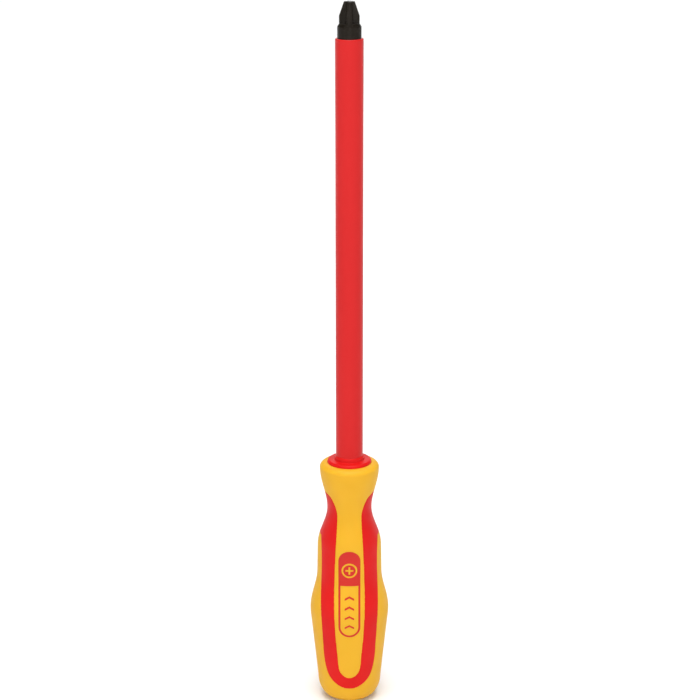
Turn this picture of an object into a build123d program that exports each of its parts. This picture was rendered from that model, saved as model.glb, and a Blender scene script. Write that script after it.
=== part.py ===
from build123d import *
import os
from math import atan2, cos, pi, radians, sin, tan

# Insulated cross-tip screwdriver, standing on its butt with the tip up.
# Millimetres, +Z from the butt towards the tip, origin at the centre of the
# flat butt face. The front and back of the grip are alike (-Y and +Y); the
# wide sides of the grip face -X and +X.

# --- Blade: round steel bar with a size 4 cross tip ---------------------------
EXPOSED_LENGTH = 200.0        # front plane of the guard to the nose of the tip
SHANK_DIAMETER = 10.0
BARE_TIP_LENGTH = 15.0        # steel left bare beyond the insulation
NOSE_DIAMETER = 4.55          # flat end of the tip
NOSE_BREAK = 0.15             # small edge break round the flat nose
CONE_LENGTH = 5.8             # tapered part of the wings
WING_STEP = 0.75              # the straight part of the wings lies this far inside the bar
WING_LENGTH = 9.0             # nose to the foot of the shoulder
SHOULDER_LENGTH = 1.2         # cone from the wings out to the round bar
FLUTE_COUNT = 4
FLUTE_ANGLE = 92.0            # included angle of each flute
FLUTE_FLOOR = 0.5             # width of the flat at the bottom of a flute
FLUTE_ROOT_AT_NOSE = 1.35     # axis to flute floor, at the nose
FLUTE_ROOT_AT_END = 2.2       # axis to flute floor, where the run-out starts
FLUTE_STRAIGHT = 9.0          # nose to the start of the run-out
RUNOUT_CLEARANCE = 1.5        # radius of the round run-out beyond the bar's own radius
RUNOUT_ARC = 75.0             # turn of the run-out, enough to leave the bar again
TANG_DEPTH = 89.0             # blade length hidden in the handle
TANG_BREAK = 1.0              # chamfer at the buried end
EAR_REACH = 2.0               # each anti-twist ear beyond the round bar
EAR_THICKNESS = 3.0
EAR_LENGTH = 14.0
EAR_OFFSET = 8.0              # buried end of the bar to the ears
EAR_BREAK = 1.5               # chamfer on the corners of the ears

# --- Insulating sleeve ---------------------------------------------------------
SLEEVE_WALL = 0.9
SLEEVE_BURIED = 20.0          # sleeve length hidden in the handle
SLEEVE_STEP = 0.25            # the buried length is this much thinner all round
SLEEVE_EDGE_RADIUS = 0.45     # rounding of the sleeve's front edge

# --- Handle zones, stacked upwards from the flat butt face -------------------------
RIM_HEIGHT = 10.0             # rounded butt rim
TAPER_LENGTH = 28.0           # straight taper up to the palm swell
CROWN_LENGTH = 5.5            # top of the taper to the widest place
SWELL_LENGTH = 18.5           # widest place to the straight part
STRAIGHT_LENGTH = 12.0
THROAT_LENGTH = 17.8          # straight part to the neck
FLARE_LENGTH = 18.9           # neck to the widest place of the guard
LIP_LENGTH = 2.3              # rounded lip up to the guard's front plane

# --- Handle layers, stacked outwards from the sleeve --------------------------------
NECK_CORE_WALL = 1.3          # red core round the sleeve at the neck
SHELL_WALL = 2.6              # yellow layer over the red core
BEAD_WALL = 0.55              # sealing bead round the foot of the sleeve
DISC_LEDGE = 3.25             # bead to the rim of the red end face
LIP_WIDTH = 3.3               # end face to the widest place of the guard
BEAD_HEIGHT = 1.9
BEAD_STRAIGHT = 0.6           # straight part of the bead below its rounding
DISC_RISE = 1.3               # the end face's stand above the guard plane
DISC_EDGE = 1.0               # rounding width of its rim
SOCKET_DEPTH = 9.5            # depth of the core's cylinder inside the guard
SOCKET_OVERLAP = 1.0          # length over which core and cylinder run together

# --- Grip outline, half widths seen from the front -----------------------------------
BUTT_FLAT_RADIUS = 7.0        # flat on which the tool can stand
RIM_HALF_WIDTH = 14.1
HUMP_HALF_WIDTH = 17.5        # palm swell, the widest place
CROWN_DROP = 0.45             # how much less the width is at the top of the taper
WAIST_HALF_WIDTH = 14.35      # back end of the straight part
SHOULDER_HALF_WIDTH = 14.12   # front end of the straight part
GRIP_FLATNESS = 0.88          # grip depth over grip width, round at the neck

# --- Badge inlays -----------------------------------------------------------------
BADGE_WIDTH = 9.8
BADGE_LENGTH = 40.5
BADGE_HEIGHT = 55.3           # centre above the butt
BADGE_THICKNESS = 0.5

# --- Outlines of the colour fields, seen from the front ---------------------------
# Right-hand edges as (half width, height) pairs. The upper points are set back
# from the guard plane, the lower ones stand above the butt.
GUARD_EDGE_SETBACK = 12.8     # lower edge of the guard at the sides of the neck
TONGUE_NECK = [(11.0, 12.9), (8.8, 13.9), (6.75, 17.2), (5.6, 20.7), (5.4, 25.0), (5.8, 32.0)]
TONGUE_GRIP = [(6.4, 69.0), (6.85, 52.0), (6.1, 33.0), (5.1, 21.5), (4.3, 17.1), (2.6, 14.9)]
TONGUE_END_HEIGHT = 13.9      # rounded lower end of the tongue
WING_TOP_SETBACK = 33.4       # upper ends of the side wings
WING_TOP_HALF_WIDTH = 12.6
WING_NECK = [(12.4, 39.0)]
WING_GRIP = [(12.45, 63.0), (12.8, 50.0), (11.9, 31.5), (10.5, 17.8), (9.0, 13.7), (6.1, 10.5), (3.0, 8.9)]
WING_END_HEIGHT = 8.4         # where the wings run together on the butt

SECTION_STEP = 3.0            # spacing of the cross-sections along the grip
ARC_STEPS = 6                 # cross-sections round the rim and the guard lip

# --- Places that follow from the sizes above -------------------------------------------
TAPER_TOP_Z = RIM_HEIGHT + TAPER_LENGTH
HUMP_Z = TAPER_TOP_Z + CROWN_LENGTH
WAIST_Z = HUMP_Z + SWELL_LENGTH
SHOULDER_Z = WAIST_Z + STRAIGHT_LENGTH
NECK_Z = SHOULDER_Z + THROAT_LENGTH
GUARD_Z = NECK_Z + FLARE_LENGTH
HANDLE_LENGTH = GUARD_Z + LIP_LENGTH
TIP_Z = HANDLE_LENGTH + EXPOSED_LENGTH
SLEEVE_TOP_Z = TIP_Z - BARE_TIP_LENGTH
DISC_Z = HANDLE_LENGTH + DISC_RISE
BEAD_TOP_Z = DISC_Z + BEAD_HEIGHT
SHANK_RADIUS = SHANK_DIAMETER / 2
SLEEVE_RADIUS = SHANK_RADIUS + SLEEVE_WALL
SPIGOT_RADIUS = SLEEVE_RADIUS - SLEEVE_STEP
NECK_RADIUS = SLEEVE_RADIUS + NECK_CORE_WALL + SHELL_WALL
BEAD_RADIUS = SLEEVE_RADIUS + BEAD_WALL
DISC_RADIUS = BEAD_RADIUS + DISC_LEDGE
GUARD_RADIUS = DISC_RADIUS + LIP_WIDTH
TAPER_TOP_HALF_WIDTH = HUMP_HALF_WIDTH - CROWN_DROP


def ease(start, end, share):
    """Cosine blend from start to end, level at both ends."""
    return start + (end - start) * (1 - cos(pi * share)) / 2


def half_width(z):
    """Half width of the handle at height z, between the rim and the guard."""
    if z <= TAPER_TOP_Z:
        share = (z - RIM_HEIGHT) / TAPER_LENGTH
        return RIM_HALF_WIDTH + (TAPER_TOP_HALF_WIDTH - RIM_HALF_WIDTH) * share
    if z <= HUMP_Z:
        return TAPER_TOP_HALF_WIDTH + CROWN_DROP * sin(pi / 2 * (z - TAPER_TOP_Z) / CROWN_LENGTH)
    if z <= WAIST_Z:
        return ease(HUMP_HALF_WIDTH, WAIST_HALF_WIDTH, (z - HUMP_Z) / SWELL_LENGTH)
    if z <= SHOULDER_Z:
        share = (z - WAIST_Z) / STRAIGHT_LENGTH
        return WAIST_HALF_WIDTH + (SHOULDER_HALF_WIDTH - WAIST_HALF_WIDTH) * share
    if z <= NECK_Z:
        return ease(SHOULDER_HALF_WIDTH, NECK_RADIUS, (z - SHOULDER_Z) / THROAT_LENGTH)
    return ease(NECK_RADIUS, GUARD_RADIUS, (z - NECK_Z) / FLARE_LENGTH)


def flatness(z):
    """Depth over width of the handle at height z."""
    if z <= WAIST_Z:
        return GRIP_FLATNESS
    return ease(GRIP_FLATNESS, 1.0, min((z - WAIST_Z) / (NECK_Z - WAIST_Z), 1.0))


def oval(z, width, depth):
    return Plane.XY.offset(z) * Ellipse(width, depth)


def joined(sections):
    return loft([section.face() for section in sections])


def arc_angles():
    return [pi / 2 * i / ARC_STEPS for i in range(ARC_STEPS + 1)]


def handle_sections(inset, top):
    """The handle's outer form, drawn in by inset, from the butt up to height top."""
    sections = []
    for angle in arc_angles()[:-1]:
        z = inset + (RIM_HEIGHT - inset) * (1 - cos(angle))
        width = BUTT_FLAT_RADIUS + (RIM_HALF_WIDTH - inset - BUTT_FLAT_RADIUS) * sin(angle)
        rim_depth = RIM_HALF_WIDTH * GRIP_FLATNESS - inset
        flat_depth = BUTT_FLAT_RADIUS * GRIP_FLATNESS
        sections.append(oval(z, width, flat_depth + (rim_depth - flat_depth) * sin(angle)))
    steps = round((top - RIM_HEIGHT) / SECTION_STEP)
    for i in range(steps + 1):
        z = RIM_HEIGHT + (top - RIM_HEIGHT) * i / steps
        width = half_width(z)
        sections.append(oval(z, width - inset, width * flatness(z) - inset))
    return sections


def outer_form():
    """Full outer form with the rounded lip that runs in to the red end face."""
    sections = handle_sections(0, GUARD_Z)
    for angle in arc_angles()[1:]:
        radius = GUARD_RADIUS - LIP_WIDTH * (1 - cos(angle))
        sections.append(oval(GUARD_Z + LIP_LENGTH * sin(angle), radius, radius))
    return joined(sections)


def field_cutter(corner, setbacks, heights, end_height):
    """Everything inside a mirrored edge and above its corners, cut right through."""
    right = [corner] + [(x, HANDLE_LENGTH - setback) for x, setback in setbacks] + heights
    left = [(-x, z) for x, z in reversed(right)]
    far = 2 * HUMP_HALF_WIDTH
    top = HANDLE_LENGTH + far
    edge = Spline(*right, (0, end_height), *left)
    rim = Polyline(right[0], (far, corner[1]), (far, top), (-far, top), (-far, corner[1]), left[-1])
    return extrude(Plane.XZ * make_face(edge + rim), amount=far, both=True)


def tongue_field():
    """The guard all round and the two tongues on the front and back of the grip."""
    corner = (GUARD_RADIUS, HANDLE_LENGTH - GUARD_EDGE_SETBACK)
    return field_cutter(corner, TONGUE_NECK, TONGUE_GRIP, TONGUE_END_HEIGHT)


def wing_field():
    """Everything between the side wings and above the butt."""
    corner = (WING_TOP_HALF_WIDTH, HANDLE_LENGTH - WING_TOP_SETBACK)
    return field_cutter(corner, WING_NECK, WING_GRIP, WING_END_HEIGHT)


def turned(outline):
    """Solid of revolution from (radius, height) lines."""
    return revolve(Plane.XZ * make_face(outline), Axis.Z)


def core_nose():
    """Red end of the core: socket cylinder, end face and the bead round the sleeve."""
    foot_z = HANDLE_LENGTH - SOCKET_DEPTH
    shelf = DISC_RADIUS - DISC_EDGE
    bead_arc_z = DISC_Z + BEAD_STRAIGHT
    bead_round = BEAD_HEIGHT - BEAD_STRAIGHT
    outline = Polyline((0, BEAD_TOP_Z), (0, foot_z), (DISC_RADIUS, foot_z), (DISC_RADIUS, HANDLE_LENGTH))
    outline += EllipticalCenterArc((shelf, HANDLE_LENGTH), DISC_EDGE, DISC_RISE, 0, arc_size=90)
    outline += Polyline((shelf, DISC_Z), (BEAD_RADIUS, DISC_Z), (BEAD_RADIUS, bead_arc_z))
    outline += EllipticalCenterArc((SLEEVE_RADIUS, bead_arc_z), BEAD_WALL, bead_round, 0, arc_size=90)
    outline += Line((SLEEVE_RADIUS, BEAD_TOP_Z), (0, BEAD_TOP_Z))
    return turned(outline)


def flute_cutter():
    """One ground flute: a straight, slightly rising vee and its round run-out."""
    slope = atan2(FLUTE_ROOT_AT_END - FLUTE_ROOT_AT_NOSE, FLUTE_STRAIGHT)
    along = Vector(sin(slope), 0, -cos(slope))
    outward = Vector(cos(slope), 0, sin(slope))
    root_end = Vector(FLUTE_ROOT_AT_END, 0, TIP_Z - FLUTE_STRAIGHT)
    floor = FLUTE_FLOOR / 2
    flank = floor + SHANK_RADIUS * tan(radians(FLUTE_ANGLE / 2))
    vee_plane = Plane(origin=root_end, x_dir=outward, z_dir=along)
    vee = vee_plane * make_face(Polyline(
        (0, -floor), (SHANK_RADIUS, -flank), (SHANK_RADIUS, flank), (0, floor), close=True
    ))
    runout_centre = root_end + outward * (SHANK_RADIUS + RUNOUT_CLEARANCE)
    straight = extrude(vee, amount=-(FLUTE_STRAIGHT + SHANK_DIAMETER))
    runout = revolve(vee, Axis(runout_centre, vee_plane.y_dir), revolution_arc=-RUNOUT_ARC)
    return straight + runout


def make_blade():
    """Round bar with ears at its buried end and four wings at the tip."""
    nose = NOSE_DIAMETER / 2
    wing = SHANK_RADIUS - WING_STEP
    wing_foot_z = TIP_Z - WING_LENGTH
    end_z = HANDLE_LENGTH - TANG_DEPTH
    profile = Polyline(
        (0, end_z), (SHANK_RADIUS - TANG_BREAK, end_z), (SHANK_RADIUS, end_z + TANG_BREAK),
        (SHANK_RADIUS, wing_foot_z - SHOULDER_LENGTH), (wing, wing_foot_z),
        (wing, TIP_Z - CONE_LENGTH), (nose, TIP_Z - NOSE_BREAK), (nose - NOSE_BREAK, TIP_Z),
        (0, TIP_Z), close=True,
    )
    blade = turned(profile)
    for i in range(FLUTE_COUNT):
        blade -= Rot(Z=360 / FLUTE_COUNT * (i + 0.5)) * flute_cutter()
    ears = Box(SHANK_DIAMETER + 2 * EAR_REACH, EAR_THICKNESS, EAR_LENGTH)
    ears = chamfer(ears.edges().filter_by(Axis.Y), EAR_BREAK)
    blade += Pos(0, 0, end_z + EAR_OFFSET + EAR_LENGTH / 2) * ears
    return blade


def make_sleeve():
    """Tube over the bar; its buried length is stepped down and seats on the bead."""
    foot_z = HANDLE_LENGTH - SLEEVE_BURIED
    edge = min(SLEEVE_EDGE_RADIUS, SLEEVE_WALL / 2)
    outline = Polyline(
        (SHANK_RADIUS, SLEEVE_TOP_Z), (SHANK_RADIUS, foot_z), (SPIGOT_RADIUS, foot_z),
        (SPIGOT_RADIUS, BEAD_TOP_Z), (SLEEVE_RADIUS, BEAD_TOP_Z), (SLEEVE_RADIUS, SLEEVE_TOP_Z - edge),
    )
    outline += RadiusArc((SLEEVE_RADIUS, SLEEVE_TOP_Z - edge), (SLEEVE_RADIUS - edge, SLEEVE_TOP_Z), -edge)
    outline += Line((SLEEVE_RADIUS - edge, SLEEVE_TOP_Z), (SHANK_RADIUS, SLEEVE_TOP_Z))
    return turned(outline)


def make_badge(outer, side):
    """Capsule inlay that follows the grip's surface; side is -1 in front, +1 behind."""
    capsule = Plane.XZ * Pos(0, BADGE_HEIGHT) * SlotOverall(BADGE_LENGTH, BADGE_WIDTH, rotation=90)
    column = extrude(capsule, amount=-side * HUMP_HALF_WIDTH)
    under = joined(handle_sections(BADGE_THICKNESS, GUARD_Z))
    return (outer & column) - under


def export(name, solid):
    export_step(solid, f"parts/{name}.step")
    print(name, "volume", round(solid.volume, 1), "solids", len(solid.solids()))


def main():
    os.makedirs("parts", exist_ok=True)
    outer = outer_form()
    core_top = HANDLE_LENGTH - SOCKET_DEPTH + SOCKET_OVERLAP
    inner = joined(handle_sections(SHELL_WALL, core_top))
    bands = outer & (wing_field() - tongue_field())
    core = inner + bands + core_nose()
    layers = (outer - core).solids().sort_by(Axis.Z)
    butt_shell, guard_shell = layers[0], layers[-1]

    blade = make_blade()
    sleeve = make_sleeve()
    core = core - sleeve - blade
    badges = {"badge_front": make_badge(outer, -1), "badge_back": make_badge(outer, 1)}
    for badge in badges.values():
        guard_shell -= badge

    export("blade", blade)
    export("shaft_insulation", sleeve)
    export("handle_core", core)
    export("guard_shell", guard_shell)
    export("butt_shell", butt_shell)
    for name, badge in badges.items():
        export(name, badge)


main()
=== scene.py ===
import logging
import math
from dataclasses import dataclass, field
from enum import Enum

import bmesh
import bpy
import numpy as np
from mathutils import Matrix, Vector
from mathutils.kdtree import KDTree


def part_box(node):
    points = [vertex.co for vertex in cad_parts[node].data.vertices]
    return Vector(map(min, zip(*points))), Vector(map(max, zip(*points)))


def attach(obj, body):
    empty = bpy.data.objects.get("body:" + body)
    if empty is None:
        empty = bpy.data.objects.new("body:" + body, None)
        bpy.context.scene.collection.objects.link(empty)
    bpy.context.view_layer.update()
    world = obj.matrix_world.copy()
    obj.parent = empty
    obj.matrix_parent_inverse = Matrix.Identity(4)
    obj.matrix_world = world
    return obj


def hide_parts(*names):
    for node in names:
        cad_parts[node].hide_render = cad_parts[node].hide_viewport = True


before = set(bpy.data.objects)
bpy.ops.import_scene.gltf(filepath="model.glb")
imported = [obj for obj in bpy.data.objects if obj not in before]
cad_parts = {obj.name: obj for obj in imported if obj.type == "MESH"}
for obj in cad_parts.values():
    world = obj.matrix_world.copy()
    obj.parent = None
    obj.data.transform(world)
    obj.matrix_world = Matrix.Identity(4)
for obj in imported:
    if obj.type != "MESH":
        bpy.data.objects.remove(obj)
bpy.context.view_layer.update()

Pair = tuple[float, float]
Triple = tuple[float, float, float]

MM = 0.001
LOG = logging.getLogger("screwdriver")


# ---------------------------------------------------------------- finishes


class Tint(Enum):
    """Linear base colours of the mouldings, the steel and the setting."""

    SLEEVE_RED = (0.60, 0.018, 0.018)
    SLEEVE_DEEP_RED = (0.55, 0.014, 0.014)
    CORE_RED = (0.67, 0.008, 0.007)
    CORE_DEEP_RED = (0.61, 0.006, 0.005)
    GRIP_YELLOW = (0.755, 0.405, 0.018)
    GRIP_AMBER = (0.725, 0.380, 0.015)
    INK_RED = (0.58, 0.020, 0.011)
    INK_DEEP_RED = (0.53, 0.015, 0.008)
    STEEL_BLACK = (0.011, 0.008, 0.005)
    STEEL_WORN = (0.060, 0.052, 0.045)
    PAPER_WHITE = (0.93, 0.93, 0.93)
    PAPER_SHADE = (0.90, 0.90, 0.90)

    def rgba(self) -> tuple[float, float, float, float]:
        """Colour with full opacity, as shader sockets want it."""
        return (*self.value, 1.0)


class NodeBench:
    """Builds one node material and keeps the wiring short."""

    RANGE_LIMITS = slice(1, 5)
    FIRST_COLOUR = 6
    SECOND_COLOUR = 7
    MIXED_COLOUR = 2

    def __init__(self, name: str) -> None:
        """Start an empty node tree with a principled shader.

        Args:
            name: name of the new material.
        """
        self.material = bpy.data.materials.new(name)
        self.material.use_nodes = True
        self.tree = self.material.node_tree
        self.tree.nodes.clear()
        output = self.tree.nodes.new("ShaderNodeOutputMaterial")
        self.shader = self.tree.nodes.new("ShaderNodeBsdfPrincipled")
        self.tree.links.new(self.shader.outputs[0], output.inputs[0])
        self.coordinates = self.tree.nodes.new("ShaderNodeTexCoord").outputs["Object"]

    def node(self, kind: str, **values: object) -> bpy.types.Node:
        """Add a node.

        Args:
            kind: the node type without its ShaderNode prefix.
            **values: attributes set on the node.

        Returns:
            The new node.
        """
        made = self.tree.nodes.new("ShaderNode" + kind)
        for key, value in values.items():
            setattr(made, key, value)
        return made

    def stretched(self, scale: Triple) -> bpy.types.NodeSocket:
        """Object coordinates scaled per axis.

        Args:
            scale: factor for each axis.

        Returns:
            The scaled vector socket.
        """
        mapping = self.node("Mapping")
        mapping.inputs["Scale"].default_value = scale
        self.tree.links.new(self.coordinates, mapping.inputs["Vector"])
        return mapping.outputs[0]

    def noise(
        self,
        scale: float,
        detail: float = 3.0,
        stretch: Triple = (1.0, 1.0, 1.0),
    ) -> bpy.types.NodeSocket:
        """Noise in object space.

        Args:
            scale: noise scale per metre.
            detail: octaves.
            stretch: extra factor for each axis.

        Returns:
            The noise factor socket.
        """
        texture = self.node("TexNoise")
        texture.inputs["Scale"].default_value = scale
        texture.inputs["Detail"].default_value = detail
        self.tree.links.new(self.stretched(stretch), texture.inputs["Vector"])
        return texture.outputs["Fac"]

    def ranged(
        self,
        source: bpy.types.NodeSocket,
        low: float,
        high: float,
        start: float = 0.3,
        end: float = 0.7,
    ) -> bpy.types.NodeSocket:
        """Map a factor to a range.

        Args:
            source: factor that is mapped.
            low: value at start.
            high: value at end.
            start: lower end of the source.
            end: upper end of the source.

        Returns:
            The mapped value socket.
        """
        mapper = self.node("MapRange")
        for socket, value in zip(mapper.inputs[self.RANGE_LIMITS], (start, end, low, high)):
            socket.default_value = value
        self.tree.links.new(source, mapper.inputs["Value"])
        return mapper.outputs[0]

    def blended(
        self, factor: bpy.types.NodeSocket, first: Tint, second: Tint
    ) -> bpy.types.NodeSocket:
        """Mix two tints.

        Args:
            factor: 0 gives the first tint, 1 the second.
            first: tint at 0.
            second: tint at 1.

        Returns:
            The mixed colour socket.
        """
        mixer = self.node("Mix", data_type="RGBA")
        mixer.inputs[self.FIRST_COLOUR].default_value = first.rgba()
        mixer.inputs[self.SECOND_COLOUR].default_value = second.rgba()
        self.tree.links.new(factor, mixer.inputs[0])
        return mixer.outputs[self.MIXED_COLOUR]

    def relief(self, *layers: tuple[bpy.types.NodeSocket, float]) -> None:
        """Stack bump layers on the shader's normal.

        Args:
            *layers: pairs of a height socket and its depth in metres.
        """
        normal = None
        for height, depth in layers:
            bump = self.node("Bump")
            bump.inputs["Strength"].default_value = 1.0
            bump.inputs["Distance"].default_value = depth
            self.tree.links.new(height, bump.inputs["Height"])
            if normal is not None:
                self.tree.links.new(normal, bump.inputs["Normal"])
            normal = bump.outputs[0]
        self.tree.links.new(normal, self.shader.inputs["Normal"])

    def wire(self, source: bpy.types.NodeSocket, socket: str) -> None:
        """Link a source to one of the shader's sockets."""
        self.tree.links.new(source, self.shader.inputs[socket])

    def fix(self, **values: float) -> None:
        """Set shader sockets to constants; underscores in the keys stand for spaces."""
        for key, value in values.items():
            self.shader.inputs[key.replace("_", " ")].default_value = value


@dataclass(frozen=True)
class MouldedPlastic:
    """Injection-moulded plastic with a fine eroded texture."""

    name: str
    light: Tint
    deep: Tint
    roughness_low: float
    roughness_high: float
    grain_per_metre: float
    grain_depth: float
    specular: float
    flow_stretch: Triple = (1.0, 1.0, 1.0)
    glow_radius: float = 0.0
    glow_weight: float = 0.12
    cloud_per_metre: float = 60.0
    haze_per_metre: float = 240.0
    wave_per_metre: float = 90.0
    wave_depth: float = 0.00006

    def make(self) -> bpy.types.Material:
        """Build the material.

        Returns:
            The finished node material.
        """
        bench = NodeBench(self.name)
        cloud = bench.noise(self.cloud_per_metre, 2.0, self.flow_stretch)
        tint = bench.blended(bench.ranged(cloud, 0.0, 1.0), self.light, self.deep)
        bench.wire(tint, "Base Color")
        haze = bench.noise(self.haze_per_metre, 3.0, self.flow_stretch)
        bench.wire(bench.ranged(haze, self.roughness_low, self.roughness_high), "Roughness")
        grain = bench.noise(self.grain_per_metre, 2.0)
        wave = bench.noise(self.wave_per_metre, 1.0, self.flow_stretch)
        bench.relief((wave, self.wave_depth), (grain, self.grain_depth))
        bench.fix(Specular_IOR_Level=self.specular)
        if self.glow_radius > 0:
            bench.fix(Subsurface_Weight=self.glow_weight, Subsurface_Scale=self.glow_radius)
        return bench.material


@dataclass(frozen=True)
class BurnishedSteel:
    """Blackened blade steel with grinding lines and rubbed edges."""

    name: str = "burnished_steel"
    line_stretch: Triple = (1.0, 1.0, 14.0)
    line_per_metre: float = 1400.0
    line_depth: float = 0.000012
    patch_per_metre: float = 900.0
    patch_depth: float = 0.00003
    patch_share: float = 0.14
    patch_span: Pair = (0.45, 0.75)
    edge_share: float = 0.8
    edge_span: Pair = (0.52, 0.62)
    roughness: Pair = (0.30, 0.48)
    metallic: float = 0.2
    specular: float = 0.12

    def make(self) -> bpy.types.Material:
        """Build the material.

        Returns:
            The finished node material.
        """
        bench = NodeBench(self.name)
        patches = bench.noise(self.patch_per_metre, 4.0)
        pointiness = bench.node("NewGeometry").outputs["Pointiness"]
        edges = bench.ranged(pointiness, 0.0, self.edge_share, *self.edge_span)
        rubbed = bench.ranged(patches, 0.0, self.patch_share, *self.patch_span)
        worn = bench.node("Math", operation="ADD", use_clamp=True)
        bench.tree.links.new(edges, worn.inputs[0])
        bench.tree.links.new(rubbed, worn.inputs[1])
        tint = bench.blended(worn.outputs[0], Tint.STEEL_BLACK, Tint.STEEL_WORN)
        bench.wire(tint, "Base Color")
        bench.wire(bench.ranged(patches, *self.roughness), "Roughness")
        lines = bench.noise(self.line_per_metre, 2.0, self.line_stretch)
        bench.relief((patches, self.patch_depth), (lines, self.line_depth))
        bench.fix(Metallic=self.metallic, Specular_IOR_Level=self.specular)
        return bench.material


@dataclass(frozen=True)
class StudioPaper:
    """Matt white paper of the floor sweep."""

    name: str = "studio_paper"
    fibre_per_metre: float = 900.0
    fibre_depth: float = 0.00002
    mottle_per_metre: float = 3.0
    roughness: Pair = (0.80, 0.95)
    specular: float = 0.1

    def make(self) -> bpy.types.Material:
        """Build the material.

        Returns:
            The finished node material.
        """
        bench = NodeBench(self.name)
        fibres = bench.noise(self.fibre_per_metre, 3.0)
        mottle = bench.noise(self.mottle_per_metre, 2.0)
        bench.wire(bench.blended(mottle, Tint.PAPER_WHITE, Tint.PAPER_SHADE), "Base Color")
        bench.wire(bench.ranged(fibres, *self.roughness), "Roughness")
        bench.relief((fibres, self.fibre_depth))
        bench.fix(Specular_IOR_Level=self.specular)
        return bench.material


@dataclass(frozen=True)
class FinishSet:
    """The finishes that the pieces share."""

    grip: bpy.types.Material
    core: bpy.types.Material
    sleeve: bpy.types.Material
    ink: bpy.types.Material
    steel: bpy.types.Material
    paper: bpy.types.Material

    @staticmethod
    def mixed() -> "FinishSet":
        """Make every finish once.

        Returns:
            The set of finished materials.
        """
        grip = MouldedPlastic(
            "grip_yellow_soft", Tint.GRIP_YELLOW, Tint.GRIP_AMBER,
            roughness_low=0.48, roughness_high=0.60,
            grain_per_metre=3200.0, grain_depth=0.00002,
            specular=0.20, glow_radius=0.0012,
        )
        core = MouldedPlastic(
            "core_red_hard", Tint.CORE_RED, Tint.CORE_DEEP_RED,
            roughness_low=0.40, roughness_high=0.52,
            grain_per_metre=3600.0, grain_depth=0.000014,
            specular=0.14,
        )
        sleeve = MouldedPlastic(
            "sleeve_red_satin", Tint.SLEEVE_RED, Tint.SLEEVE_DEEP_RED,
            roughness_low=0.30, roughness_high=0.38,
            grain_per_metre=2600.0, grain_depth=0.000008,
            specular=0.12, flow_stretch=(1.0, 1.0, 0.08),
        )
        ink = MouldedPlastic(
            "badge_ink_red", Tint.INK_RED, Tint.INK_DEEP_RED,
            roughness_low=0.40, roughness_high=0.50,
            grain_per_metre=4200.0, grain_depth=0.00001,
            specular=0.26,
        )
        plastics = (plastic.make() for plastic in (grip, core, sleeve, ink))
        return FinishSet(*plastics, BurnishedSteel().make(), StudioPaper().make())


# ---------------------------------------------------------------- mesh tools


def mesh_piece(
    name: str, points: np.ndarray, faces: list[list[int]], finish: bpy.types.Material
) -> bpy.types.Object:
    """Make a smooth-shaded mesh object.

    Args:
        name: object name.
        points: vertex positions in metres.
        faces: vertex indices of each face.
        finish: material of the whole piece.

    Returns:
        The linked object.
    """
    mesh = bpy.data.meshes.new(name)
    mesh.from_pydata(points.tolist(), [], faces)
    mesh.polygons.foreach_set("use_smooth", [True] * len(mesh.polygons))
    mesh.materials.append(finish)
    mesh.update()
    piece = bpy.data.objects.new(name, mesh)
    bpy.context.collection.objects.link(piece)
    return piece


def grid_faces(rows: int, columns: int, keep: np.ndarray, closed: bool) -> np.ndarray:
    """Quads of a vertex grid.

    Args:
        rows: grid rows.
        columns: grid columns.
        keep: flat mask of the vertices that are used.
        closed: joins the last column to the first.

    Returns:
        An array of four vertex indices per kept quad.
    """
    wide = columns if closed else columns - 1
    row, column = np.meshgrid(np.arange(rows - 1), np.arange(wide), indexing="ij")
    right = (column + 1) % columns
    corners = [row * columns + column, row * columns + right]
    corners += [(row + 1) * columns + right, (row + 1) * columns + column]
    quads = np.stack([corner.ravel() for corner in corners], axis=1)
    return quads[keep[quads].all(axis=1)]


def packed(points: np.ndarray, quads: np.ndarray) -> tuple[np.ndarray, list[list[int]]]:
    """Drop the vertices that no quad uses.

    Args:
        points: all vertex positions.
        quads: faces that index them.

    Returns:
        The used positions and the faces renumbered to them.
    """
    used, renumbered = np.unique(quads, return_inverse=True)
    return points[used], renumbered.reshape(quads.shape).tolist()


def smooth_curve(points: list[Pair], count: int) -> np.ndarray:
    """Sample a natural cubic spline through points.

    Args:
        points: (half width, height) pairs in order.
        count: number of samples.

    Returns:
        The sampled pairs.
    """
    knots = np.array(points, dtype=float)
    gaps = np.linalg.norm(np.diff(knots, axis=0), axis=1)
    stations = np.concatenate([[0.0], np.cumsum(gaps)])
    size = len(knots)
    system, target = np.eye(size), np.zeros((size, 2))
    slopes = np.diff(knots, axis=0) / gaps[:, None]
    for i in range(1, size - 1):
        system[i, i - 1 : i + 2] = gaps[i - 1], 2 * (gaps[i - 1] + gaps[i]), gaps[i]
        target[i] = 6 * (slopes[i] - slopes[i - 1])
    bends = np.linalg.solve(system, target)
    places = np.linspace(0, stations[-1], count)
    span = np.clip(np.searchsorted(stations, places, side="right") - 1, 0, size - 2)
    gap = gaps[span][:, None]
    before = (places - stations[span])[:, None]
    after = gap - before
    curve = (bends[span] * after**3 + bends[span + 1] * before**3) / (6 * gap)
    curve += (knots[span] / gap - bends[span] * gap / 6) * after
    return curve + (knots[span + 1] / gap - bends[span + 1] * gap / 6) * before


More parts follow.
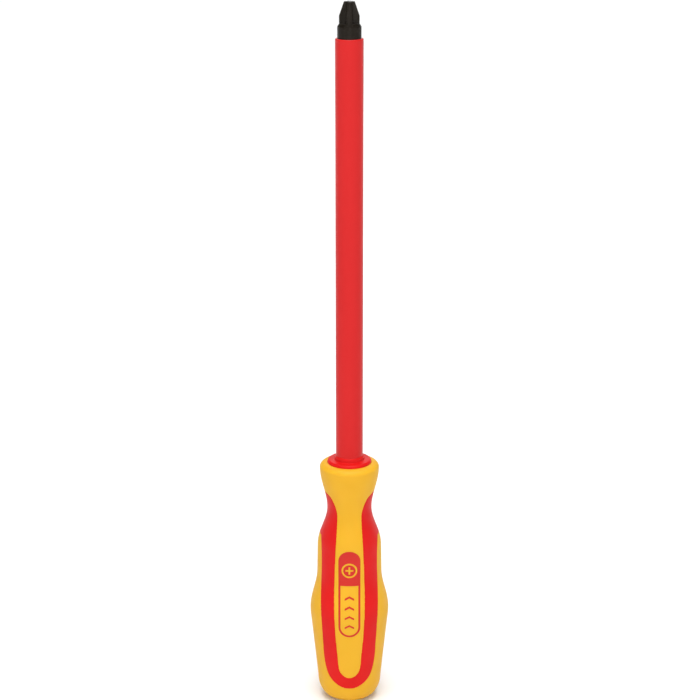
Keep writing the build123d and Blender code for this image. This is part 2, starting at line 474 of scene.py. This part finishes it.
def lathe(
    name: str, outline: list[Pair], finish: bpy.types.Material, turns: int
) -> bpy.types.Object:
    """Turn an open outline round the Z axis.

    Args:
        name: object name.
        outline: (radius, height) pairs in millimetres.
        finish: material of the piece.
        turns: segments round the axis.

    Returns:
        The turned object.
    """
    profile = np.array(outline) * MM
    angles = np.linspace(0, 2 * math.pi, turns, endpoint=False)
    radii, heights = profile[:, :1], np.repeat(profile[:, 1:], turns, axis=1)
    turned = [radii * np.cos(angles), radii * np.sin(angles), heights]
    points = np.stack(turned, axis=-1).reshape(-1, 3)
    keep = np.ones(len(points), dtype=bool)
    quads = grid_faces(len(profile), turns, keep, True)
    return mesh_piece(name, points, quads.tolist(), finish)


def corner_arc(
    centre: Pair, radii: Pair, start: float, end: float, steps: int
) -> list[Pair]:
    """Points of an elliptical arc in an outline.

    Args:
        centre: centre as (radius, height).
        radii: half axes along the radius and the height.
        start: first angle in degrees.
        end: last angle in degrees.
        steps: number of spans.

    Returns:
        The points from start to end.
    """
    across, up = centre
    angles = [math.radians(start + (end - start) * i / steps) for i in range(steps + 1)]
    return [(across + radii[0] * math.cos(a), up + radii[1] * math.sin(a)) for a in angles]


def report(piece: bpy.types.Object, role: str) -> None:
    """Log a finished piece with what it stands for and its face count."""
    LOG.info("%s %s, %d faces", piece.name, role, len(piece.data.polygons))


def show(piece: bpy.types.Object, *nodes: str) -> None:
    """Attach a piece to the tool's root body, hide the CAD nodes it stands for and log it.

    Args:
        piece: the new piece.
        *nodes: the CAD nodes it replaces.
    """
    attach(piece, "root")
    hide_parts(*nodes)
    report(piece, "stands for " + ", ".join(nodes))


# ---------------------------------------------------------------- handle


class Field(Enum):
    """Which moulding shows at a place on the grip."""

    GUARD = "guard"
    BUTT = "butt"
    BAND = "band"


@dataclass
class GripForm:
    """Outer form of the handle in millimetres, with its colour fields."""

    length: float
    butt_flat: float = 7.0
    rim_half_width: float = 14.1
    rim_height: float = 10.0
    taper_top: Pair = (17.05, 38.0)
    hump: Pair = (17.49, 43.5)
    waist: Pair = (14.35, 62.0)
    shoulder: Pair = (14.12, 39.0)
    neck: Pair = (9.8, 21.2)
    guard: Pair = (13.0, 2.3)
    disc_radius: float = 9.7
    grip_flatness: float = 0.88
    tongue_corner: Pair = (13.0, 12.8)
    tongue_neck: tuple[Pair, ...] = (
        (11.0, 12.9), (8.8, 13.9), (6.75, 17.2), (5.6, 20.7), (5.4, 25.0), (5.8, 32.0),
    )
    tongue_grip: tuple[Pair, ...] = (
        (6.4, 69.0), (6.85, 52.0), (6.1, 33.0), (5.1, 21.5), (4.3, 17.1), (2.6, 14.9),
    )
    tongue_end: float = 13.9
    wing_corner: Pair = (12.6, 33.4)
    wing_neck: tuple[Pair, ...] = ((12.4, 39.0),)
    wing_grip: tuple[Pair, ...] = (
        (12.45, 63.0), (12.8, 50.0), (11.9, 31.5), (10.5, 17.8), (9.0, 13.7), (6.1, 10.5),
        (3.0, 8.9),
    )
    wing_end: float = 8.4
    centre_gap: float = 0.02
    flat_step: float = 1.0
    rim_arc: float = 12.5
    lip_arc: float = 4.5
    lip_insets: Pair = (0.05, 0.1)
    lip_depths: Pair = (0.3, 1.2)
    edge_samples: int = 1601
    corner_samples: int = 60

    def half_width(self, z: np.ndarray) -> np.ndarray:
        """Half width between the rim and the guard.

        Args:
            z: heights above the butt.

        Returns:
            The half widths there.
        """
        shoulder_z = self.length - self.shoulder[1]
        neck_z = self.length - self.neck[1]
        guard_z = self.length - self.guard[1]

        def share(start: float, end: float) -> np.ndarray:
            """Place between two heights, from 0 to 1."""
            return np.clip((z - start) / (end - start), 0, 1)

        def ease(start: float, end: float, part: np.ndarray) -> np.ndarray:
            """Cosine blend, level at both ends."""
            return start + (end - start) * (1 - np.cos(np.pi * part)) / 2

        taper = self.rim_half_width + (self.taper_top[0] - self.rim_half_width) * share(
            self.rim_height, self.taper_top[1]
        )
        crown = self.taper_top[0] + (self.hump[0] - self.taper_top[0]) * np.sin(
            np.pi / 2 * share(self.taper_top[1], self.hump[1])
        )
        swell = ease(self.hump[0], self.waist[0], share(self.hump[1], self.waist[1]))
        grip = self.waist[0] + (self.shoulder[0] - self.waist[0]) * share(self.waist[1], shoulder_z)
        throat = ease(self.shoulder[0], self.neck[0], share(shoulder_z, neck_z))
        guard = ease(self.neck[0], self.guard[0], share(neck_z, guard_z))
        tops = (self.taper_top[1], self.hump[1], self.waist[1], shoulder_z, neck_z)
        zones = [taper, crown, swell, grip, throat]
        return np.select([z <= top for top in tops], zones, guard)

    def flatness(self, z: np.ndarray) -> np.ndarray:
        """Depth over width at each height."""
        neck_z = self.length - self.neck[1]
        part = np.clip((z - self.waist[1]) / (neck_z - self.waist[1]), 0, 1)
        return self.grip_flatness + (1 - self.grip_flatness) * (1 - np.cos(np.pi * part)) / 2

    def stations(self, step: float) -> np.ndarray:
        """Cross-sections from the centre of the butt to the inside of the guard lip.

        Args:
            step: spacing along the outline.

        Returns:
            Rows of half width, half depth and height.
        """
        flat_rings = round(self.butt_flat / self.flat_step)
        flat = np.linspace(self.centre_gap, self.butt_flat, flat_rings)[:-1]
        rows = [np.stack([flat, flat * self.grip_flatness, flat * 0], axis=1)]
        rim = np.linspace(0, np.pi / 2, round(self.rim_arc / step))[:-1]
        rim_width = self.butt_flat + (self.rim_half_width - self.butt_flat) * np.sin(rim)
        rim_z = self.rim_height * (1 - np.cos(rim))
        rows.append(np.stack([rim_width, rim_width * self.grip_flatness, rim_z], axis=1))
        guard_z = self.length - self.guard[1]
        z = np.linspace(self.rim_height, guard_z, round((guard_z - self.rim_height) / step))
        width = self.half_width(z)
        rows.append(np.stack([width, width * self.flatness(z), z], axis=1))
        lip = np.linspace(0, np.pi / 2, round(self.lip_arc / step))[1:]
        lip_radius = self.guard[0] - (self.guard[0] - self.disc_radius) * (1 - np.cos(lip))
        lip_z = guard_z + self.guard[1] * np.sin(lip)
        rows.append(np.stack([lip_radius, lip_radius, lip_z], axis=1))
        inside = self.disc_radius - np.array(self.lip_insets)
        rows.append(np.stack([inside, inside, self.length - np.array(self.lip_depths)], axis=1))
        return np.concatenate(rows)

    def edge(
        self, corner: Pair, neck: tuple[Pair, ...], grip: tuple[Pair, ...], end: float
    ) -> np.ndarray:
        """Right-hand edge of a colour field, from its corner to the centre line.

        Args:
            corner: half width and setback of the corner.
            neck: half widths and setbacks below it.
            grip: half widths and heights further down.
            end: height of the rounded end.

        Returns:
            Sampled (half width, height) pairs.
        """
        right = [(x, self.length - setback) for x, setback in (corner, *neck)] + list(grip)
        left = [(-x, z) for x, z in reversed(right)]
        curve = smooth_curve(right + [(0.0, end)] + left, self.edge_samples)
        return curve[: self.edge_samples // 2 + 1]

    def tongue_edge(self) -> np.ndarray:
        """Edge of the guard and its tongues."""
        return self.edge(self.tongue_corner, self.tongue_neck, self.tongue_grip, self.tongue_end)

    def wing_edge(self) -> np.ndarray:
        """Edge of the side wings and the butt."""
        return self.edge(self.wing_corner, self.wing_neck, self.wing_grip, self.wing_end)

    def around(self, edge: np.ndarray) -> np.ndarray:
        """Carry an edge on to the surface, all the way round the handle.

        Args:
            edge: right-hand edge seen from the front.

        Returns:
            Points in space, on both sides and on the front and back.
        """
        corner_x, corner_z = edge[0]
        widest = float(self.half_width(np.array([corner_z]))[0])
        level = np.linspace(min(corner_x, widest), widest, self.corner_samples)
        line = np.stack([level, np.full(self.corner_samples, corner_z)], axis=1)
        points = np.concatenate([line, edge])
        width = self.half_width(points[:, 1])
        low = points[:, 1] < self.rim_height
        lift = np.clip(1 - points[:, 1] / self.rim_height, 0, 1)
        rim = self.butt_flat + (self.rim_half_width - self.butt_flat) * np.sqrt(1 - lift**2)
        width = np.where(low, rim, width)
        points, width = points[points[:, 0] <= width], width[points[:, 0] <= width]
        depth = width * self.flatness(points[:, 1]) * np.sqrt(1 - (points[:, 0] / width) ** 2)
        corners = [
            np.stack([sx * points[:, 0], sy * depth, points[:, 1]], axis=1)
            for sx in (-1, 1)
            for sy in (-1, 1)
        ]
        return np.concatenate(corners)


@dataclass
class Handle:
    """Multi-shot handle: red core, yellow guard with tongues and yellow butt with wings."""

    form: GripForm
    sleeve_radius: float
    finishes: FinishSet
    step: float = 0.32
    columns: int = 336
    overlap: float = 0.9
    seam_radius: float = 0.24
    seam_slope: float = 0.9
    badge_dip: float = 0.16
    disc_rise: float = 1.3
    disc_edge: float = 1.0
    bead_wall: float = 0.55
    bead_height: float = 1.9
    bead_straight: float = 0.6
    bead_foot: tuple[Pair, ...] = ((0.35, 0.0), (0.12, 0.03), (0.02, 0.14))
    bead_tuck: Pair = (0.2, 0.02)
    nose_clearance: float = 0.02
    nose_foot_depths: Pair = (1.2, 0.2)
    nose_turns: int = 144
    positions: np.ndarray = field(init=False)
    normals: np.ndarray = field(init=False)
    fields: dict[Field, np.ndarray] = field(init=False)
    rows: int = field(init=False)

    def __post_init__(self) -> None:
        """Lay the fine surface grid and measure how far each point is from the seams."""
        stations = self.form.stations(self.step)
        self.rows = len(stations)
        angles = np.linspace(0, 2 * np.pi, self.columns, endpoint=False)
        grid = np.stack(
            [
                stations[:, :1] * np.sin(angles),
                -stations[:, 1:2] * np.cos(angles),
                np.repeat(stations[:, 2:], self.columns, axis=1),
            ],
            axis=-1,
        )
        along = np.gradient(grid, axis=0)
        wrapped = np.concatenate([grid[:, -1:], grid, grid[:, :1]], axis=1)
        round_way = wrapped[:, 2:] - wrapped[:, :-2]
        normals = np.cross(round_way, along)
        normals /= np.maximum(np.linalg.norm(normals, axis=2, keepdims=True), 1e-9)
        self.positions = grid.reshape(-1, 3)
        self.normals = normals.reshape(-1, 3)
        self.fields = self.measure_fields()

    def measure_fields(self) -> dict[Field, np.ndarray]:
        """Signed distance of each grid point into each colour field.

        Returns:
            One array of millimetres for each field, positive inside it.
        """
        tongue, wing = self.form.tongue_edge(), self.form.wing_edge()
        guard = self.signed(tongue, self.inside(tongue))
        butt = self.signed(wing, ~self.inside(wing))
        return {Field.GUARD: guard, Field.BUTT: butt, Field.BAND: -np.maximum(guard, butt)}

    def inside(self, edge: np.ndarray) -> np.ndarray:
        """Grid points inside a mirrored edge.

        Args:
            edge: right-hand edge, from its corner down to the centre line.

        Returns:
            A mask over the grid.
        """
        heights, widths = edge[::-1, 1], edge[::-1, 0]
        x, z = np.abs(self.positions[:, 0]), self.positions[:, 2]
        limit = np.interp(z, heights, widths)
        return (z > heights[-1]) | ((z > heights[0]) & (x < limit))

    def signed(self, edge: np.ndarray, inside: np.ndarray) -> np.ndarray:
        """Distance from the grid points to an edge on the surface.

        Args:
            edge: right-hand edge of a field.
            inside: mask of the points that are in the field.

        Returns:
            Millimetres, positive inside.
        """
        places = self.form.around(edge)
        tree = KDTree(len(places))
        for index, place in enumerate(places):
            tree.insert(place, index)
        tree.balance()
        distance = np.array([tree.find(point)[2] for point in self.positions])
        return np.where(inside, distance, -distance)

    def seam_drop(self, distance: np.ndarray) -> np.ndarray:
        """How far the surface dips near the edge of its field.

        Args:
            distance: signed distance into the field.

        Returns:
            Depth below the outer form.
        """
        radius = self.seam_radius
        near = np.clip(radius - distance, 0, radius)
        rounded = radius - np.sqrt(radius**2 - near**2)
        return np.where(distance >= 0, rounded, radius - distance * self.seam_slope)

    def shell(self, which: Field, name: str, finish: bpy.types.Material) -> bpy.types.Object:
        """Fine mesh of one colour field with rounded edges that sink into the seams.

        Args:
            which: the field to build.
            name: object name.
            finish: its material.

        Returns:
            The new piece.
        """
        distance = self.fields[which]
        drop = self.seam_drop(distance)
        if which is Field.GUARD:
            drop = drop + self.badge_dip * Badge.panel_share(self.positions)
        points = (self.positions - self.normals * drop[:, None]) * MM
        quads = grid_faces(self.rows, self.columns, distance > -self.overlap, True)
        return mesh_piece(name, *packed(points, quads), finish)

    def nose_outline(self) -> list[Pair]:
        """Outline of the red end face with its rounded rim and the bead round the sleeve.

        Returns:
            (radius, height) pairs in millimetres, from the rim's foot to the sleeve.
        """
        form, front = self.form, self.form.length
        face, bead = front + self.disc_rise, self.sleeve_radius + self.bead_wall
        rim = form.disc_radius - self.nose_clearance
        points = [(rim, front - depth) for depth in self.nose_foot_depths]
        rim_centre = (form.disc_radius - self.disc_edge, front)
        rim_radii = (self.disc_edge - self.nose_clearance, self.disc_rise)
        points += corner_arc(rim_centre, rim_radii, 0, 90, 8)
        points += [(bead + out, face + up) for out, up in self.bead_foot]
        bead_centre = (self.sleeve_radius, face + self.bead_straight)
        bead_radii = (self.bead_wall, self.bead_height - self.bead_straight)
        points += corner_arc(bead_centre, bead_radii, 0, 90, 10)
        tuck_in, tuck_down = self.bead_tuck
        return points + [(self.sleeve_radius - tuck_in, face + self.bead_height - tuck_down)]

    def build(self) -> None:
        """Make and dress the three mouldings."""
        guard = self.shell(Field.GUARD, "guard_and_tongues", self.finishes.grip)
        show(guard, "guard_shell")
        butt = self.shell(Field.BUTT, "butt_and_wings", self.finishes.grip)
        show(butt, "butt_shell")
        bands = self.shell(Field.BAND, "core_bands", self.finishes.core)
        nose = lathe("core_nose", self.nose_outline(), self.finishes.core, self.nose_turns)
        show(bands, "handle_core")
        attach(nose, "root")
        report(nose, "completes handle_core")


# ---------------------------------------------------------------- badge


@dataclass
class Badge:
    """Raised print on a shallow capsule panel: a framed cross-recess sign over chevrons."""

    form: GripForm
    finish: bpy.types.Material
    half_width: float = 4.9
    half_length: float = 20.25
    centre: float = 55.3
    frame_width: float = 0.95
    split_height: float = 58.9
    sign_height: float = 66.2
    sign_radius: float = 3.1
    sign_stroke: float = 0.75
    cross_reach: float = 1.75
    chevron_heights: tuple[float, ...] = (54.0, 49.6, 45.2, 40.8)
    chevron_reach: float = 2.1
    chevron_rise: float = 0.55
    chevron_stroke: float = 0.95
    print_height: float = 0.09
    print_edge: float = 0.12
    print_sink: float = 0.25
    print_overlap: float = 0.25
    panel_reach: float = 0.35
    panel_blend: float = 0.5
    margin: float = 0.3
    cell: float = 0.11

    @staticmethod
    def capsule(
        x: np.ndarray, z: np.ndarray, centre: float, half_width: float, half_length: float
    ) -> np.ndarray:
        """Signed distance to an upright capsule, negative inside."""
        straight = half_length - half_width
        return np.hypot(x, z - np.clip(z, centre - straight, centre + straight)) - half_width

    @staticmethod
    def panel_share(positions: np.ndarray) -> np.ndarray:
        """How much of the panel's dip applies at each grid point.

        Args:
            positions: points on the handle in millimetres.

        Returns:
            A share from 0 outside the panel to 1 on it.
        """
        x, z = positions[:, 0], positions[:, 2]
        distance = Badge.capsule(x, z, Badge.centre, Badge.half_width, Badge.half_length)
        share = np.clip((Badge.panel_reach - distance) / Badge.panel_blend, 0, 1)
        return share * share * (3 - 2 * share)

    def inked(self, x: np.ndarray, z: np.ndarray) -> np.ndarray:
        """Signed distance into the print.

        Args:
            x: places across the badge.
            z: heights.

        Returns:
            Millimetres, positive where there is ink.
        """
        capsule = self.capsule(x, z, self.centre, self.half_width, self.half_length)
        frame_line = np.minimum(-capsule, capsule + self.frame_width)
        half_stroke, rise = self.sign_stroke / 2, z - self.sign_height
        ring = half_stroke - np.abs(np.hypot(x, rise) - self.sign_radius)
        upright = np.minimum(half_stroke - np.abs(x), self.cross_reach - np.abs(rise))
        level = np.minimum(self.cross_reach - np.abs(x), half_stroke - np.abs(rise))
        sign = np.maximum(ring, np.maximum(upright, level))
        plate = np.minimum(np.minimum(-capsule, z - self.split_height), -sign)
        ink = np.maximum(frame_line, plate)
        for height in self.chevron_heights:
            stroke = self.chevron_stroke / 2 - np.abs(z - height + self.chevron_rise * np.abs(x))
            ink = np.maximum(ink, np.minimum(stroke, self.chevron_reach - np.abs(x)))
        return ink

    def build(self, name: str, node: str, side: int) -> None:
        """Make one badge.

        Args:
            name: object name.
            node: the CAD node it stands for.
            side: -1 for the front, 1 for the back.
        """
        across = np.arange(-self.half_width - self.margin, self.half_width + self.margin, self.cell)
        low = self.centre - self.half_length - self.margin
        up = np.arange(low, self.centre + self.half_length + self.margin, self.cell)
        x, z = np.meshgrid(across, up)
        width = self.form.half_width(z)
        ink = self.inked(x, z)
        lift = Handle.badge_dip - self.print_height
        drop = lift + np.clip(0.5 - ink / self.print_edge, 0, 1) * self.print_sink
        depth = (width - drop) * self.form.flatness(z) * np.sqrt(1 - (x / width) ** 2)
        points = np.stack([x * side * -1, side * depth, z], axis=-1).reshape(-1, 3) * MM
        quads = grid_faces(len(up), len(across), (ink > -self.print_overlap).ravel(), False)
        badge = mesh_piece(name, *packed(points, quads), self.finish)
        show(badge, node)


# ---------------------------------------------------------------- shaft


@dataclass
class Sleeve:
    """Insulating tube over the blade, with a rounded front edge."""

    finish: bpy.types.Material
    radius: float
    handle_length: float
    top: float
    foot_rise: float = 1.0
    edge: float = 0.45
    bore: float = 5.0
    bore_edge: float = 0.12
    bore_depth: float = 3.0
    rings: int = 40
    turns: int = 128

    def build(self) -> None:
        """Make and dress the tube."""
        foot, rim, lip = self.handle_length + self.foot_rise, self.edge, self.bore_edge
        outline = [(self.radius, float(z)) for z in np.linspace(foot, self.top - rim, self.rings)]
        outline += corner_arc((self.radius - rim, self.top - rim), (rim, rim), 0, 90, 7)[1:]
        outline += corner_arc((self.bore + lip, self.top - lip), (lip, lip), 90, 180, 3)
        outline += [(self.bore, self.top - self.bore_depth)]
        tube = lathe("insulating_sleeve", outline, self.finish, self.turns)
        show(tube, "shaft_insulation")


@dataclass
class Blade:
    """Steel bar with its cross tip: the CAD form with softly broken edges."""

    finish: bpy.types.Material
    edge_break: float = 0.09
    crease_degrees: float = 22.0
    flat_degrees: float = 3.0
    weld_distance: float = 0.002
    bevel_segments: int = 2

    def build(self) -> None:
        """Copy the CAD blade, break its edges and dress it."""
        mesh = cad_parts["blade"].data.copy()
        mesh.name = "steel_blade"
        blade = bpy.data.objects.new("steel_blade", mesh)
        bpy.context.collection.objects.link(blade)
        work = bmesh.new()
        work.from_mesh(mesh)
        bmesh.ops.remove_doubles(work, verts=work.verts, dist=self.weld_distance * MM)
        limit = math.radians(self.flat_degrees)
        bmesh.ops.dissolve_limit(work, angle_limit=limit, verts=work.verts, edges=work.edges)
        work.to_mesh(mesh)
        work.free()
        mesh.materials.clear()
        mesh.materials.append(self.finish)
        mesh.polygons.foreach_set("use_smooth", [True] * len(mesh.polygons))
        bevel = blade.modifiers.new("edge_break", "BEVEL")
        bevel.width = self.edge_break * MM
        bevel.segments = self.bevel_segments
        bevel.limit_method = "ANGLE"
        bevel.angle_limit = math.radians(self.crease_degrees)
        bevel.harden_normals = True
        show(blade, "blade")


# ---------------------------------------------------------------- studio


@dataclass(frozen=True)
class SoftBox:
    """Rectangular soft light that faces the grip."""

    name: str
    place: Triple
    size: Pair
    watts: float
    target: Triple = (0.0, 0.0, 0.15)

    def hang(self) -> None:
        """Hang the light, hidden from the camera."""
        light = bpy.data.lights.new(self.name, "AREA")
        light.shape = "RECTANGLE"
        light.size, light.size_y = self.size
        light.energy = self.watts
        lamp = bpy.data.objects.new(self.name, light)
        bpy.context.collection.objects.link(lamp)
        lamp.location = self.place
        lamp.visible_camera = False
        facing = Vector(self.target) - Vector(self.place)
        lamp.rotation_mode = "QUATERNION"
        lamp.rotation_quaternion = facing.to_track_quat("-Z", "Y")


@dataclass
class Studio:
    """Pale floor sweep, lights and camera: metres and degrees, unless a name says otherwise."""

    finish: bpy.types.Material
    floor_hole_mm: float = 0.001
    floor_rings: tuple[float, ...] = (0.05, 0.2, 0.6, 1.5, 3.0, 5.0)
    floor_radius: float = 7.0
    rim_radius: float = 1.5
    rim_sweep_radians: float = 1.4
    rim_rings: int = 12
    floor_turns: int = 96
    camera_distance: float = 0.8138
    camera_elevation: float = 17.5
    aim: Triple = (0.00027, 0.0, 0.16418)
    lens: float = 97.19
    sensor_width: float = 36.0
    clip_range: Pair = (0.01, 60.0)
    sun_strength: float = 2.9
    sun_width: float = 40.0
    sun_tilt: float = 8.0
    surround: float = 0.20
    soft_boxes: tuple[SoftBox, ...] = (
        SoftBox("left_box", (-0.95, -0.95, 0.75), (0.16, 1.2), 2.2),
        SoftBox("right_box", (0.95, -0.95, 0.7), (0.16, 1.2), 1.5),
        SoftBox("front_box", (0.0, -1.35, 0.85), (0.5, 0.9), 6.5),
        SoftBox("back_box", (0.0, 1.35, 0.85), (0.8, 0.9), 4.0),
    )

    def floor(self) -> None:
        """Lay a wide round floor with a raised rim."""
        inner = self.floor_radius - self.rim_radius
        outline = [(self.floor_hole_mm, 0.0)] + [(radius / MM, 0.0) for radius in self.floor_rings]
        for angle in np.linspace(0, self.rim_sweep_radians, self.rim_rings):
            out = inner + self.rim_radius * math.sin(angle)
            up = self.rim_radius - self.rim_radius * math.cos(angle)
            outline.append((out / MM, up / MM))
        sweep = lathe("floor_sweep", outline, self.finish, self.floor_turns)

    def overhead_sun(self) -> None:
        """Wide soft light from almost straight above, which keeps the whole floor white."""
        light = bpy.data.lights.new("overhead", "SUN")
        light.energy = self.sun_strength
        light.angle = math.radians(self.sun_width)
        lamp = bpy.data.objects.new("overhead", light)
        bpy.context.collection.objects.link(lamp)
        lamp.rotation_mode = "XYZ"
        lamp.rotation_euler = (math.radians(self.sun_tilt), 0.0, 0.0)

    def camera(self) -> None:
        """Set up the camera, looking slightly down at the tool."""
        data = bpy.data.cameras.new("view")
        data.sensor_width = self.sensor_width
        data.lens = self.lens
        data.clip_start, data.clip_end = self.clip_range
        eye = bpy.data.objects.new("view", data)
        bpy.context.collection.objects.link(eye)
        tilt = math.radians(self.camera_elevation)
        back = Vector((0.0, -math.cos(tilt), math.sin(tilt)))
        eye.location = Vector(self.aim) + back * self.camera_distance
        eye.rotation_mode = "QUATERNION"
        eye.rotation_quaternion = (-back).to_track_quat("-Z", "Y")
        bpy.context.scene.camera = eye

    def daylight(self) -> None:
        """Even white surroundings."""
        world = bpy.data.worlds.new("white_surround")
        world.use_nodes = True
        sky = world.node_tree.nodes["Background"]
        sky.inputs["Color"].default_value = (1.0, 1.0, 1.0, 1.0)
        sky.inputs["Strength"].default_value = self.surround
        bpy.context.scene.world = world
        bpy.context.scene.view_settings.view_transform = "Standard"

    def build(self) -> None:
        """Set the whole stage."""
        self.floor()
        for box in self.soft_boxes:
            box.hang()
        self.overhead_sun()
        self.camera()
        self.daylight()


def main() -> None:
    """Build every sub-assembly in order and set the stage."""
    logging.basicConfig(level=logging.INFO, format="%(name)s: %(message)s")
    finishes = FinishSet.mixed()
    _, sleeve_high = (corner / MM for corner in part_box("shaft_insulation"))
    _, guard_high = (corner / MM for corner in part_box("guard_shell"))
    form = GripForm(length=float(guard_high[2]))
    sleeve_radius = float(sleeve_high[0])
    Handle(form, sleeve_radius, finishes).build()
    badge = Badge(form, finishes.ink)
    badge.build("badge_print_front", "badge_front", -1)
    badge.build("badge_print_back", "badge_back", 1)
    Sleeve(finishes.sleeve, sleeve_radius, form.length, top=float(sleeve_high[2])).build()
    Blade(finishes.steel).build()
    Studio(finishes.paper).build()


if __name__ == "__main__":
    main()
